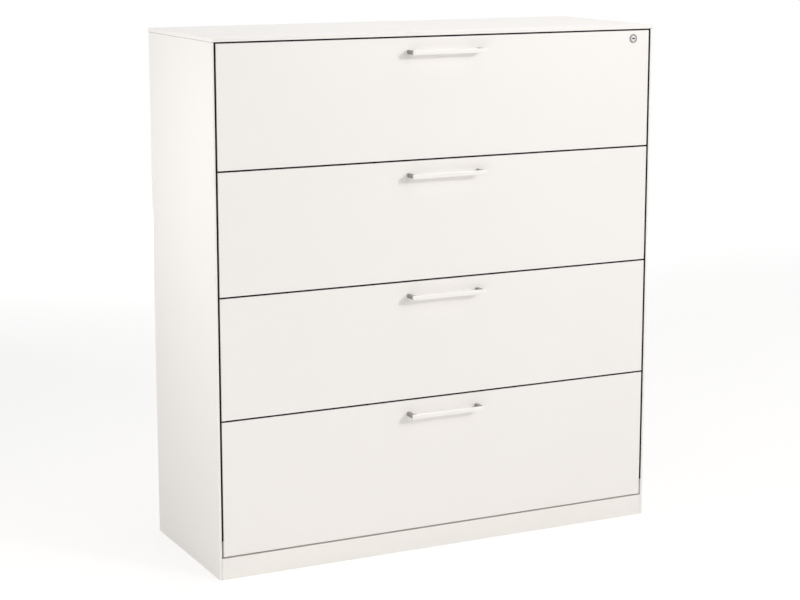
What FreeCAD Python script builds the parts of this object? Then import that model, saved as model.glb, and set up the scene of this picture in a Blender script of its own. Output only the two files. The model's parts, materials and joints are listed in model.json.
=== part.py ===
import FreeCAD, Part
import math
import os
from types import SimpleNamespace

import Sketcher

# A lateral filing cabinet in steel sheet: a shell, four drawers on full extension slides, and
# a central lock. Millimetres, +Z up, the fronts face -Y, the origin lies on the floor under
# the middle of the whole cabinet with its handles.

SIZES = {
    # Whole cabinet
    "cabinet_width": 1200,
    "cabinet_depth": 435,
    "plinth_height": 52.5,
    "front_height": 294,
    "low_front_height": 331.5,
    "front_gap": 4,
    "side_gap": 5,
    "cover_rim": 10,
    # Sheet metal of the shell
    "sheet": 1,
    "frame_sheet": 1.5,
    "bend_radius": 1.2,
    "seam": 0.6,
    "fit_gap": 0.4,
    "panel_edge": 6,
    "panel_return": 18,
    "rear_flange": 20,
    "back_recess": 1.5,
    "back_margin": 2,
    "bead_height": 18,
    "bead_depth": 3,
    "bead_end_gap": 45,
    "pan_flange": 30,
    "rail_height": 20,
    "rail_depth": 24,
    "rail_setback": 34,
    # Uprights
    "upright_depth": 17,
    "upright_width": 40,
    "front_upright_at": 45,
    "rear_upright_inset": 105,
    "slot_height": 14,
    "slot_width": 6,
    "slot_pitch": 120,
    # Levelling feet
    "foot_inset": 40,
    "front_foot_at": 42,
    "rear_foot_inset": 35,
    "foot_width": 24,
    "foot_height": 8,
    "foot_nut_width": 17,
    "foot_nut_height": 10,
    "stud_radius": 5,
    "stud_end": 6,
    "running_fit": 0.05,
    # Drawer fronts
    "front_depth": 18,
    "inner_flange": 10,
    # Handles
    "handle_length": 200,
    "handle_reach": 38,
    "handle_drop": 34,
    "bar_depth": 7,
    "bar_height": 11,
    "bar_rounding": 1.8,
    "bar_end_bevel": 0.6,
    "leg_width": 8,
    "leg_height": 9.5,
    "leg_flare": 8,
    "leg_inset": 0.8,
    "leg_curve": 9,
    # Drawer box
    "tray_rise": 18,
    "wall_height": 250,
    "drawer_rear_gap": 19,
    "wall_foot": 15,
    "lip_width": 26,
    "lip_height": 12,
    "back_hem": 10,
    "lane_width": 330,
    "notch_depth": 14,
    "notch_height": 70,
    "tab_rise": 168,
    "tab_height": 10,
    "tab_length": 8,
    "tab_reach": 12,
    # Telescopic slides
    "slide_thickness": 13,
    "slide_height": 45,
    "slide_rise": 130,
    "slide_setback": 2,
    "slide_sheet": 1.2,
    "slide_lip": 2,
    "ball_room": 2.6,
    "slide_play": 0.4,
    # Lock
    "lock_side_inset": 47,
    "lock_top_inset": 20,
    "ring_radius": 11,
    "ring_height": 1.6,
    "ring_chamfer": 0.7,
    "barrel_radius": 9.5,
    "barrel_length": 24,
    "core_radius": 7.5,
    "core_recess": 0.5,
    "core_overhang": 0.6,
    "key_slot_width": 9,
    "key_slot_height": 3,
    "key_slot_depth": 9,
    "square_side": 6,
    "cam_thickness": 3,
    "cam_length": 42,
    "cam_width": 12,
    # Central locking bar
    "lock_lift": 12,
    "lock_bar_width": 10,
    "lock_bar_depth": 6,
    "lock_bar_setback": 23,
    "lock_bar_side_gap": 3,
    "lock_play": 0.5,
    "hook_reach": 12,
    "hook_height": 10,
    "hook_clearance": 1.5,
    "arm_height": 5,
    "guide_height": 20,
    "guide_arm": 9,
    "low_guide_at": 120,
    "high_guide_at": 1130,
}

DRAWER_COUNT = 4
LANE_COUNT = 3
BEAD_COUNT = 3
SLOT_COUNT = 9

# Anything smaller than this counts as touching when edges are picked by their place.
TOUCH = 0.001

doc = FreeCAD.newDocument("FilingCabinet")


class Size:
    """A length that knows its value now and the formula that ties it to the sheet."""

    def __init__(self, value, formula):
        self.value = value
        self.formula = formula

    def __add__(self, other):
        other = as_size(other)
        return Size(self.value + other.value, f"({self.formula} + {other.formula})")

    def __sub__(self, other):
        other = as_size(other)
        return Size(self.value - other.value, f"({self.formula} - {other.formula})")

    def __mul__(self, factor):
        return Size(self.value * factor, f"({self.formula} * {factor})")

    def __truediv__(self, divisor):
        return Size(self.value / divisor, f"({self.formula} / {divisor})")

    def __neg__(self):
        return Size(-self.value, f"(0 - {self.formula})")


def as_size(amount):
    """Give a Size for a Size or for the number zero."""
    return amount if isinstance(amount, Size) else Size(amount, str(amount))


def make_sheet():
    """Write the sizes to the sheet, each in its own named cell, and return them as Sizes."""
    sheet = doc.addObject("Spreadsheet::Sheet", "Sizes")
    for row, (name, value) in enumerate(SIZES.items(), start=1):
        sheet.set(f"A{row}", name)
        sheet.set(f"B{row}", str(value))
        sheet.setAlias(f"B{row}", name)
    doc.recompute()
    return SimpleNamespace(**{name: Size(value, f"Sizes.{name}") for name, value in SIZES.items()})


s = make_sheet()
ZERO = as_size(0)

# Places that several pieces share. Across: x from the middle. Depth: y behind the face of the
# fronts. Height: z above the floor.
half_width = s.cabinet_width / 2
face_y = (s.handle_reach - s.cabinet_depth) / 2
panel_skin_x = half_width - s.sheet
back_y = s.cabinet_depth - s.back_recess
slide_x = panel_skin_x - s.upright_depth
wall_x = slide_x - s.slide_thickness
front_half_width = half_width - s.panel_edge - s.side_gap
pan_top = s.plinth_height
cover_underside = (
    s.plinth_height + s.low_front_height + s.front_height * (DRAWER_COUNT - 1)
    + s.front_gap * (DRAWER_COUNT + 1)
)
cover_top = cover_underside + s.cover_rim
top_rail_underside = cover_top - s.sheet - s.rail_height
wall_top = s.tray_rise + s.wall_height
drawer_length = s.cabinet_depth - s.front_depth - s.drawer_rear_gap
foot_x = half_width - s.foot_inset
foot_places = (s.front_foot_at, s.cabinet_depth - s.rear_foot_inset)
lock_x = front_half_width - s.lock_side_inset
lock_bar_out_x = panel_skin_x - s.lock_bar_side_gap
lock_bar_in_x = lock_bar_out_x - s.lock_bar_width


def front_height(number):
    """Height of a drawer's front: the bottom one is taller."""
    return s.low_front_height if number == DRAWER_COUNT else s.front_height


def front_base(number):
    """Height of the lower edge of a drawer's front above the floor; drawer 1 is the top one."""
    if number == DRAWER_COUNT:
        return s.plinth_height + s.front_gap
    below = s.plinth_height + s.front_gap * 2 + s.low_front_height
    return below + (s.front_height + s.front_gap) * (DRAWER_COUNT - 1 - number)


lock_z = front_base(1) + s.front_height - s.lock_top_inset


def bind(thing, prop, size):
    """Set one property and tie it to the sheet."""
    if "." not in prop:
        setattr(thing, prop, size.value)
    thing.setExpression(prop, size.formula)


def move_to(thing, x, y, z):
    """Place a piece and tie its place to the sheet."""
    thing.Placement.Base = FreeCAD.Vector(x.value, y.value, z.value)
    for axis, size in zip("xyz", (x, y, z)):
        thing.setExpression(f"Placement.Base.{axis}", size.formula)
    return thing


def new_body(name):
    """An empty body, named after the piece it becomes."""
    body = doc.addObject("PartDesign::Body", name)
    body.Label = name
    return body


def new_sketch(body, plane, offset=ZERO):
    """A sketch on one of the body's own origin planes, moved along the plane's normal."""
    sketch = body.newObject("Sketcher::SketchObject", f"{body.Name}_sketch")
    support = next(item for item in body.Origin.OriginFeatures if item.Role == plane)
    sketch.AttachmentSupport = [(support, "")]
    sketch.MapMode = "FlatFace"
    sketch.AttachmentOffset = FreeCAD.Placement(
        FreeCAD.Vector(0, 0, offset.value), FreeCAD.Rotation()
    )
    bind(sketch, "AttachmentOffset.Base.z", offset)
    return sketch


def pin_point(sketch, shape, point, u, v):
    """Hold a point of the sketch at u, v from its origin."""
    for kind, axis, size in (("DistanceX", -2, u), ("DistanceY", -1, v)):
        if size.formula == ZERO.formula:
            sketch.addConstraint(Sketcher.Constraint("PointOnObject", shape, point, axis))
            continue
        index = sketch.addConstraint(
            Sketcher.Constraint(kind, -1, 1, shape, point, size.value)
        )
        sketch.setExpression(f"Constraints[{index}]", size.formula)


def add_outline(sketch, corners):
    """Draw a closed outline of straight lines through the corners, each held in place."""
    first = sketch.GeometryCount
    count = len(corners)
    ends = [FreeCAD.Vector(u.value, v.value, 0) for u, v in corners]
    for index in range(count):
        sketch.addGeometry(Part.LineSegment(ends[index], ends[(index + 1) % count]))
    for index, (u, v) in enumerate(corners):
        line = first + index
        before = first + (index - 1) % count
        sketch.addConstraint(Sketcher.Constraint("Coincident", before, 2, line, 1))
        pin_point(sketch, line, 1, u, v)


def add_circle(sketch, u, v, radius):
    """Draw a circle held at its centre and radius."""
    centre = FreeCAD.Vector(u.value, v.value, 0)
    shape = sketch.addGeometry(Part.Circle(centre, FreeCAD.Vector(0, 0, 1), radius.value))
    index = sketch.addConstraint(Sketcher.Constraint("Radius", shape, radius.value))
    sketch.setExpression(f"Constraints[{index}]", radius.formula)
    pin_point(sketch, shape, 3, u, v)


def rectangle(left, right, low, high):
    """The corners of a rectangle."""
    return [(left, low), (right, low), (right, high), (left, high)]


def hexagon(across_flats):
    """The corners of a regular hexagon round the origin, with two corners on the u axis."""
    flat = across_flats / 2
    tip = across_flats / math.sqrt(3)
    return [(tip, ZERO), (tip / 2, flat), (-tip / 2, flat), (-tip, ZERO), (-tip / 2, -flat),
            (tip / 2, -flat)]


def folded(path, thickness):
    """The outline of a sheet folded square along a path, with its wall on the path's left."""
    count = len(path)
    directions = []
    for (u0, v0), (u1, v1) in zip(path, path[1:]):
        run, rise = u1.value - u0.value, v1.value - v0.value
        along_u = (run > TOUCH) - (run < -TOUCH)
        along_v = (rise > TOUCH) - (rise < -TOUCH)
        directions.append((along_u, along_v))
    inside = []
    for index, (u, v) in enumerate(path):
        before = directions[max(index - 1, 0)]
        after = directions[min(index, count - 2)]
        normals = {(-before[1], before[0]), (-after[1], after[0])}
        for step_u, step_v in normals:
            u = u + thickness * step_u if step_u else u
            v = v + thickness * step_v if step_v else v
        inside.append((u, v))
    return path + inside[::-1]


def pad(body, sketch, length, backwards=False):
    """Raise a sketch to a solid. Backwards is against the sketch plane's normal."""
    feature = body.newObject("PartDesign::Pad", f"{body.Name}_pad")
    feature.Profile = sketch
    bind(feature, "Length", length)
    feature.Reversed = backwards
    return feature


def pocket(body, sketch, length, along_normal=False):
    """Cut a sketch into the solid. The usual way is against the sketch plane's normal."""
    doc.recompute()
    before = body.Shape.Volume
    feature = body.newObject("PartDesign::Pocket", f"{body.Name}_pocket")
    feature.Profile = sketch
    bind(feature, "Length", length)
    feature.Reversed = along_normal
    doc.recompute()
    if body.Shape.Volume >= before:
        raise RuntimeError(f"{feature.Name} cuts nothing")
    return feature


def dress_edges(body, kind, prop, size, wanted):
    """Put a fillet or a chamfer on those edges of the body that the test picks."""
    doc.recompute()
    base = body.Tip
    names = [f"Edge{n}" for n, edge in enumerate(base.Shape.Edges, start=1) if wanted(edge)]
    feature = body.newObject(f"PartDesign::{kind}", f"{body.Name}_{kind.lower()}")
    feature.Base = (base, names)
    bind(feature, prop, size)


def round_edges(body, radius, wanted):
    """Round the edges that the test picks."""
    dress_edges(body, "Fillet", "Radius", radius, wanted)


def bevel_edges(body, size, wanted):
    """Bevel the edges that the test picks."""
    dress_edges(body, "Chamfer", "Size", size, wanted)


def corner_edge(u, v, plane):
    """A test for edges that stand on the sketch point u, v, square to the sketch's plane."""
    axes = {"XY_Plane": ("x", "y"), "XZ_Plane": ("x", "z"), "YZ_Plane": ("y", "z")}[plane]

    def wanted(edge):
        places = [(getattr(p.Point, axes[0]), getattr(p.Point, axes[1])) for p in edge.Vertexes]
        return all(abs(a - u.value) < TOUCH and abs(b - v.value) < TOUCH for a, b in places)

    return wanted


def any_of(*tests):
    """A test that passes where one of several does."""
    return lambda edge: any(test(edge) for test in tests)


def extruded(name, plane, corners, start, length):
    """A body with one straight outline, raised along the plane's axis from start."""
    body = new_body(name)
    if plane == "XZ_Plane":
        pad(body, draw(body, plane, corners, -start), length, backwards=True)
    else:
        pad(body, draw(body, plane, corners, start), length)
    return body


def draw(body, plane, corners, offset=ZERO):
    """A sketch that holds one closed outline."""
    sketch = new_sketch(body, plane, offset)
    add_outline(sketch, corners)
    return sketch


def mirrored(name, source):
    """The same piece on the cabinet's other side."""
    twin = doc.addObject("Part::Mirroring", name)
    twin.Label = name
    twin.Source = source
    twin.Base = FreeCAD.Vector(0, 0, 0)
    twin.Normal = FreeCAD.Vector(1, 0, 0)
    return twin


def group(name, members):
    """Separate solids of one kind, kept under one name."""
    compound = doc.addObject("Part::Compound", name)
    compound.Label = name
    compound.Links = members
    return compound


NODES = []


def keep(piece, x, y, z):
    """Place a finished piece and list it as one of the cabinet's parts."""
    NODES.append(move_to(piece, x, y, z))
    return piece


# Shell. Its pieces are drawn with y measured from the face of the fronts.


def side_panel_body():
    """Right side panel: skin, narrow front edge turned in, and a flange for the back."""
    depth = back_y - s.sheet
    edge_x = half_width - s.panel_edge
    path = [
        (half_width - s.rear_flange, depth),
        (half_width, depth),
        (half_width, ZERO),
        (edge_x, ZERO),
        (edge_x, s.panel_return),
    ]
    outline = folded(path[::-1], s.sheet)
    height = cover_underside - s.seam
    body = extruded("side_panel_right", "XY_Plane", outline, ZERO, height)
    round_edges(body, s.bend_radius, any_of(
        corner_edge(half_width, ZERO, "XY_Plane"),
        corner_edge(edge_x, ZERO, "XY_Plane"),
        corner_edge(half_width, depth, "XY_Plane"),
    ))
    return body


def make_side_panels():
    """The two side panels, which stand on the floor."""
    right = side_panel_body()
    keep(right, ZERO, face_y, ZERO)
    keep(mirrored("side_panel_left", right), ZERO, ZERO, ZERO)


def make_back_panel():
    """Back: a flat sheet with long pressed beads that stiffen it, set in a little so that its
    rivets don't touch the wall."""
    body = new_body("back_panel")
    half = half_width - s.back_margin
    low, high = s.back_margin, cover_underside - s.back_margin
    outline = rectangle(-half, half, low, high)
    pad(body, draw(body, "XZ_Plane", outline), s.sheet, backwards=True)
    bead_half = half - s.bead_end_gap
    spacing = (high - low) / (BEAD_COUNT + 1)
    for number in range(BEAD_COUNT):
        base = low + spacing * (number + 1) - s.bead_height / 2
        top = base + s.bead_height
        ridge = rectangle(-bead_half, bead_half, base, top)
        pad(body, draw(body, "XZ_Plane", ridge), s.bead_depth)
        hollow = rectangle(
            -bead_half + s.sheet, bead_half - s.sheet, base + s.sheet, top - s.sheet
        )
        pocket(body, draw(body, "XZ_Plane", hollow, -s.sheet), s.bead_depth, along_normal=True)
    keep(body, ZERO, face_y + back_y - s.sheet, ZERO)


def make_top_cover():
    """Top cover: a shallow pan, open below, whose rim lies over the side panels."""
    body = new_body("top_cover")
    outline = rectangle(-half_width, half_width, ZERO, s.cabinet_depth)
    pad(body, draw(body, "XY_Plane", outline), s.cover_rim)
    round_edges(body, s.bend_radius, lambda edge: edge.BoundBox.ZMin > s.cover_rim.value - TOUCH)
    inner = rectangle(
        -half_width + s.sheet, half_width - s.sheet, s.sheet, s.cabinet_depth - s.sheet
    )
    pocket(body, draw(body, "XY_Plane", inner), s.cover_rim - s.sheet, along_normal=True)
    keep(body, ZERO, face_y, cover_underside)


def make_top_rail():
    """Channel across the front, under the cover, open below."""
    front, rear = s.rail_setback, s.rail_setback + s.rail_depth
    path = [(front, ZERO), (front, s.rail_height), (rear, s.rail_height), (rear, ZERO)]
    half = panel_skin_x - s.fit_gap
    outline = folded(path[::-1], s.frame_sheet)
    body = extruded("top_rail", "YZ_Plane", outline, -half, half * 2)
    keep(body, ZERO, face_y, top_rail_underside)


def make_bottom_pan():
    """Inner floor, flush with the plinth's upper fold, with a flange down at the front and the
    back, and holes for the feet."""
    front = s.panel_return + s.fit_gap
    rear = back_y - s.sheet * 2
    top = s.pan_flange
    path = [(front, ZERO), (front, top), (rear, top), (rear, ZERO)]
    half = panel_skin_x - s.fit_gap
    body = extruded("bottom_pan", "YZ_Plane", folded(path[::-1], s.sheet), -half, half * 2)
    holes = new_sketch(body, "XY_Plane", top)
    for x in (-foot_x, foot_x):
        for y in foot_places:
            add_circle(holes, x, y, s.stud_radius + s.running_fit)
    pocket(body, holes, s.sheet)
    keep(body, ZERO, face_y, pan_top - s.pan_flange)


def make_plinth():
    """Plinth board between the side panels, folded back at its upper and lower edge as far as
    the panels' own fold."""
    high = s.plinth_height
    path = [(s.panel_return, ZERO), (ZERO, ZERO), (ZERO, high), (s.panel_return, high)]
    half = half_width - s.panel_edge - s.seam
    body = extruded("plinth", "YZ_Plane", folded(path[::-1], s.sheet), -half, half * 2)
    round_edges(body, s.bend_radius, any_of(
        corner_edge(ZERO, ZERO, "YZ_Plane"), corner_edge(ZERO, high, "YZ_Plane")
    ))
    keep(body, ZERO, face_y, ZERO)


def upright_body(name, start):
    """Channel post: its web carries the slides, its two flanges stand on the side panel."""
    front, rear = start, start + s.upright_width
    path = [(panel_skin_x, front), (slide_x, front), (slide_x, rear), (panel_skin_x, rear)]
    height = top_rail_underside - pan_top
    body = extruded(name, "XY_Plane", folded(path[::-1], s.frame_sheet), ZERO, height)
    middle = start + s.upright_width / 2
    slots = new_sketch(body, "YZ_Plane", slide_x)
    for number in range(SLOT_COUNT):
        low = s.slot_pitch * (number + 1)
        outline = rectangle(
            middle - s.slot_width / 2, middle + s.slot_width / 2, low, low + s.slot_height
        )
        add_outline(slots, outline)
    pocket(body, slots, s.frame_sheet, along_normal=True)
    return body


def make_uprights():
    """Two posts on each side panel."""
    posts = [
        upright_body("upright_front", s.front_upright_at),
        upright_body("upright_rear", s.cabinet_depth - s.rear_upright_inset),
    ]
    twins = [mirrored(f"{post.Name}_twin", post) for post in posts]
    keep(group("uprights_left", twins), ZERO, face_y, pan_top)
    keep(group("uprights_right", posts), ZERO, face_y, pan_top)


def foot_body(name):
    """Screw foot: hexagonal head on the floor, a nut welded under the inner floor, and a stud
    that ends above it."""
    body = new_body(name)
    nut_top = pan_top - s.sheet
    stud = new_sketch(body, "XY_Plane")
    add_circle(stud, ZERO, ZERO, s.stud_radius)
    pad(body, stud, pan_top + s.stud_end)
    pad(body, draw(body, "XY_Plane", hexagon(s.foot_width)), s.foot_height)
    nut = draw(body, "XY_Plane", hexagon(s.foot_nut_width), nut_top - s.foot_nut_height)
    pad(body, nut, s.foot_nut_height)
    return body


def make_feet():
    """Four screw feet, one near each corner."""
    feet = []
    for number, (x, y) in enumerate([(x, y) for x in (foot_x, -foot_x) for y in foot_places], 1):
        feet.append(move_to(foot_body(f"foot_{number}"), x, y, ZERO))
    keep(group("levelling_feet", feet), ZERO, face_y, ZERO)


# Drawers. Their pieces are drawn with z measured from the lower edge of the drawer's front.


def drawer_node(piece, number):
    """List a drawer's piece at that drawer's height."""
    return keep(piece, ZERO, face_y, front_base(number))


def handle_z(number):
    """Height of the handle's middle above the lower edge of the front."""
    return front_height(number) - s.handle_drop


def make_front(number):
    """Front: a folded pan outside, and an inner pan that closes it and carries the drawer."""
    height = front_height(number)
    skin = new_body(f"front_skin_{number}")
    outline = rectangle(-front_half_width, front_half_width, ZERO, height)
    pad(skin, draw(skin, "XZ_Plane", outline), s.front_depth, backwards=True)
    round_edges(skin, s.bend_radius, lambda edge: edge.BoundBox.YMax < TOUCH)
    hollow = rectangle(
        -front_half_width + s.sheet, front_half_width - s.sheet, s.sheet, height - s.sheet
    )
    pocket(skin, draw(skin, "XZ_Plane", hollow, -s.sheet), s.front_depth)

    inner = new_body(f"front_inner_{number}")
    inset = s.sheet + s.fit_gap
    start = s.front_depth - s.inner_flange
    low, high = inset, height - inset
    half = front_half_width - inset
    pad(inner, draw(inner, "XZ_Plane", rectangle(-half, half, low, high), -start),
        s.inner_flange, backwards=True)
    room = rectangle(-half + s.sheet, half - s.sheet, low + s.sheet, high - s.sheet)
    pocket(inner, draw(inner, "XZ_Plane", room, -(s.front_depth - s.sheet)),
           s.inner_flange, along_normal=True)
    for pan in (skin, inner):
        if number == 1:
            bore = new_sketch(pan, "XZ_Plane")
            add_circle(bore, lock_x, height - s.lock_top_inset, s.barrel_radius + s.running_fit)
            pocket(pan, bore, s.front_depth)
        drawer_node(pan, number)


def make_handle(number):
    """Handle: a rounded bar on two flared metal legs that stand on the front."""
    middle = handle_z(number)
    bar_back = s.bar_depth - s.handle_reach
    section = rectangle(
        -s.handle_reach, bar_back, middle - s.bar_height / 2, middle + s.bar_height / 2
    )
    half = s.handle_length / 2
    bar = extruded(f"handle_bar_{number}", "YZ_Plane", section, -half, s.handle_length)
    round_edges(bar, s.bar_rounding, lambda edge: edge.BoundBox.XLength > TOUCH)
    bevel_edges(bar, s.bar_end_bevel, lambda edge: edge.BoundBox.XLength < TOUCH)
    drawer_node(bar, number)

    leg = new_body(f"handle_leg_{number}")
    out_x = half - s.leg_inset
    in_x = out_x - s.leg_width
    flare_end = (in_x, bar_back + s.leg_flare)
    plan = [
        (out_x, ZERO),
        (in_x, ZERO),
        flare_end,
        (in_x - s.leg_flare, bar_back),
        (out_x, bar_back),
    ]
    base = middle - s.leg_height / 2
    pad(leg, draw(leg, "XY_Plane", plan, base), s.leg_height)
    round_edges(leg, s.leg_curve, corner_edge(*flare_end, "XY_Plane"))
    legs = group(f"handle_legs_{number}", [leg, mirrored(f"handle_leg_{number}_twin", leg)])
    drawer_node(legs, number)


def make_drawer_box(number):
    """Box: floor and back in one folded sheet, two side walls, and rails between the lanes."""
    start = s.front_depth
    end = start + drawer_length
    floor_z = s.tray_rise + s.sheet
    tray_half = wall_x - s.sheet - s.fit_gap
    top = wall_top - s.lip_height - s.sheet
    path = [(start, floor_z), (end, floor_z), (end, top), (end - s.back_hem, top)]
    tray = extruded(
        f"drawer_tray_{number}", "YZ_Plane", folded(path, s.sheet), -tray_half, tray_half * 2
    )
    drawer_node(tray, number)

    wall = side_wall_body(number)
    twin = mirrored(f"drawer_side_{number}_twin", wall)
    tab = locking_tab_body(number)
    drawer_node(group(f"drawer_sides_{number}", [wall, twin, tab]), number)

    rail_width = (wall_x * 2 - s.lip_width * 2 - s.lane_width * LANE_COUNT) / (LANE_COUNT - 1)
    outer_x = s.lane_width / 2 + rail_width
    path = [
        (s.lane_width / 2, wall_top),
        (s.lane_width / 2, top),
        (outer_x, top),
        (outer_x, wall_top),
    ]
    rail_length = drawer_length - s.sheet
    rail = extruded(
        f"file_rail_{number}", "XZ_Plane", folded(path, s.frame_sheet), start, rail_length
    )
    rails = group(f"file_rails_{number}", [rail, mirrored(f"file_rail_{number}_twin", rail)])
    drawer_node(rails, number)


def side_wall_body(number):
    """Right side wall: foot, wall, and a lip whose upright edge carries the hanging files."""
    start = s.front_depth
    top = wall_top - s.lip_height
    edge_x = wall_x - s.lip_width
    path = [(wall_x - s.wall_foot, s.tray_rise), (wall_x, s.tray_rise), (wall_x, top), (edge_x, top)]
    outline = folded(path, s.sheet)
    body = extruded(f"drawer_side_{number}", "XZ_Plane", outline, start, drawer_length)
    edge = rectangle(edge_x, edge_x + s.sheet, top - s.sheet, wall_top)
    pad(body, draw(body, "XZ_Plane", edge, -start), drawer_length, backwards=True)
    notch = rectangle(edge_x, wall_x, wall_top - s.notch_height, wall_top)
    pocket(body, draw(body, "XZ_Plane", notch, -start), s.notch_depth)
    return body


def locking_tab_body(number):
    """Tab welded on the right side wall, just behind the locking bar's hook."""
    front = s.lock_bar_setback + s.lock_bar_depth + s.lock_play
    outline = rectangle(front, front + s.tab_length, s.tab_rise, s.tab_rise + s.tab_height)
    return extruded(f"locking_tab_{number}", "YZ_Plane", outline, wall_x, s.tab_reach)


def slide_member(name, near_x, far_x, half_height, tip_height, start):
    """One member of a slide: its web stands at near_x, its flanges reach to far_x, and their
    edges are folded to tip_height."""
    path = [
        (far_x, tip_height),
        (far_x, half_height),
        (near_x, half_height),
        (near_x, -half_height),
        (far_x, -half_height),
        (far_x, -tip_height),
    ]
    turned = near_x.value > far_x.value
    outline = folded(path[::-1] if turned else path, s.slide_sheet)
    return extruded(name, "XZ_Plane", outline, start, drawer_length)


def make_slides(number):
    """Telescopic slides, left and right: cabinet member, middle member and drawer member. The
    balls run in the room between their flanges, held by the folded edges."""
    start = s.front_depth + s.slide_setback
    step = s.slide_sheet + s.ball_room
    outer_half = s.slide_height / 2
    middle_half = outer_half - step
    inner_half = middle_half - step
    fold = s.slide_sheet + s.slide_lip
    middle_x = slide_x - s.slide_sheet - s.slide_play
    middle_end = wall_x + s.slide_sheet + s.slide_play
    inner_end = middle_x - s.slide_sheet - s.slide_play
    outer_end = middle_end + s.slide_play
    sections = {
        "outer": (slide_x, outer_end, outer_half, outer_half - fold),
        "middle": (middle_x, middle_end, middle_half, middle_half - fold),
        "inner": (wall_x, inner_end, inner_half, inner_half - fold),
    }
    for kind, section in sections.items():
        right = slide_member(f"slide_{kind}_{number}_right", *section, start)
        pair = group(
            f"slide_{kind}_{number}", [right, mirrored(f"slide_{kind}_{number}_twin", right)]
        )
        keep(pair, ZERO, face_y, front_base(number) + s.slide_rise)


# Lock. Its pieces are drawn about the lock's own axis, with y from the face of the fronts.


def disc(body, radius, start, length):
    """Raise a round disc on the lock's axis, from start towards the back."""
    sketch = new_sketch(body, "XZ_Plane", -start)
    add_circle(sketch, ZERO, ZERO, radius)
    pad(body, sketch, length, backwards=True)


def make_lock():
    """Cylinder lock: chamfered ring and barrel, core with a key slot, and the cam."""
    housing = new_body("lock_housing")
    bore_radius = s.core_radius + s.running_fit
    front, rear = -s.ring_height, s.barrel_length
    profile = [
        (bore_radius, front),
        (s.ring_radius - s.ring_chamfer, front),
        (s.ring_radius, front + s.ring_chamfer),
        (s.ring_radius, ZERO),
        (s.barrel_radius, ZERO),
        (s.barrel_radius, rear),
        (bore_radius, rear),
    ]
    sketch = draw(housing, "XY_Plane", profile)
    turned = housing.newObject("PartDesign::Revolution", "lock_housing_turned")
    turned.Profile = sketch
    turned.ReferenceAxis = (sketch, ["V_Axis"])
    turned.Angle = 360
    keep(housing, lock_x, face_y, lock_z)

    core = new_body("lock_core")
    front = s.core_recess - s.ring_height
    rear = s.barrel_length + s.core_overhang
    disc(core, s.core_radius, front, rear - front)
    half = s.square_side / 2
    square = rectangle(-half, half, -half, half)
    pad(core, draw(core, "XZ_Plane", square, -rear), s.cam_thickness + s.core_overhang,
        backwards=True)
    half_slot = s.key_slot_width / 2
    slot = rectangle(-half_slot, half_slot, -s.key_slot_height / 2, s.key_slot_height / 2)
    pocket(core, draw(core, "XZ_Plane", slot, -front), s.key_slot_depth)
    keep(core, lock_x, face_y, lock_z)

    cam = new_body("lock_cam")
    half = s.cam_width / 2
    plate = rectangle(-half, half, half - s.cam_length, half)
    pad(cam, draw(cam, "XZ_Plane", plate, -rear), s.cam_thickness, backwards=True)
    round_edges(cam, half - s.running_fit, any_of(
        *[corner_edge(x, z, "XZ_Plane") for x in (-half, half) for z in (half - s.cam_length, half)]
    ))
    room = s.square_side / 2 + s.running_fit
    hole = rectangle(-room, room, -room, room)
    pocket(cam, draw(cam, "XZ_Plane", hole, -rear), s.cam_thickness)
    keep(cam, lock_x, face_y, lock_z)


def make_lock_bar():
    """Central locking bar: a flat bar, with a hook welded on for each drawer and an arm that
    the cam lifts."""
    front = s.lock_bar_setback
    low = pan_top + s.fit_gap
    arm_low = lock_z + s.cam_width / 2 + s.lock_play - s.lock_lift
    arm_top = arm_low + s.arm_height
    section = rectangle(lock_bar_in_x, lock_bar_out_x, front, front + s.lock_bar_depth)
    pieces = [extruded("bar", "XY_Plane", section, low, arm_top - low)]
    steps = {"arm": (arm_low, arm_top)}
    for number in range(1, DRAWER_COUNT + 1):
        hook_top = front_base(number) + s.tab_rise - s.hook_clearance
        steps[f"hook_{number}"] = (hook_top - s.hook_height, hook_top)
    for name, (step_low, step_top) in steps.items():
        outline = rectangle(lock_bar_in_x - s.hook_reach, lock_bar_in_x, step_low, step_top)
        pieces.append(extruded(name, "XZ_Plane", outline, front, s.lock_bar_depth))
    keep(group("lock_bar", pieces), ZERO, face_y, ZERO)


def make_guides():
    """Two brackets on the side panel that hold the locking bar in a fork."""
    front = s.lock_bar_setback - s.slide_play
    rear = s.lock_bar_setback + s.lock_bar_depth + s.slide_play
    arm_x = panel_skin_x - s.guide_arm
    path = [
        (arm_x, front - s.frame_sheet),
        (panel_skin_x, front - s.frame_sheet),
        (panel_skin_x, rear + s.frame_sheet),
        (arm_x, rear + s.frame_sheet),
    ]
    guides = []
    for name, place in (("low_guide", s.low_guide_at), ("high_guide", s.high_guide_at)):
        guides.append(
            extruded(name, "XY_Plane", folded(path, s.frame_sheet), place, s.guide_height)
        )
    keep(group("lock_bar_guides", guides), ZERO, face_y, ZERO)


def check_document():
    """Stop if a feature failed or a piece isn't a sound solid."""
    for item in doc.Objects:
        if "Invalid" in item.State or "Error" in item.State:
            raise RuntimeError(f"{item.Name} failed: {item.State}")
    for piece in NODES:
        shape = piece.Shape
        if shape.isNull() or not shape.isValid() or not shape.Solids:
            raise RuntimeError(f"{piece.Label} has no sound solid")


def write_steps():
    """Write every piece to a STEP file of its own."""
    os.makedirs("parts", exist_ok=True)
    for piece in NODES:
        piece.Shape.exportStep(f"parts/{piece.Label}.step")
        print(piece.Label, len(piece.Shape.Solids), round(piece.Shape.Volume))


make_side_panels()
make_back_panel()
make_top_cover()
make_top_rail()
make_bottom_pan()
make_plinth()
make_uprights()
make_feet()
for drawer in range(1, DRAWER_COUNT + 1):
    make_front(drawer)
    make_handle(drawer)
    make_drawer_box(drawer)
    make_slides(drawer)
make_lock()
make_lock_bar()
make_guides()
doc.recompute()
check_document()
write_steps()
print("pieces", len(NODES))
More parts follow.
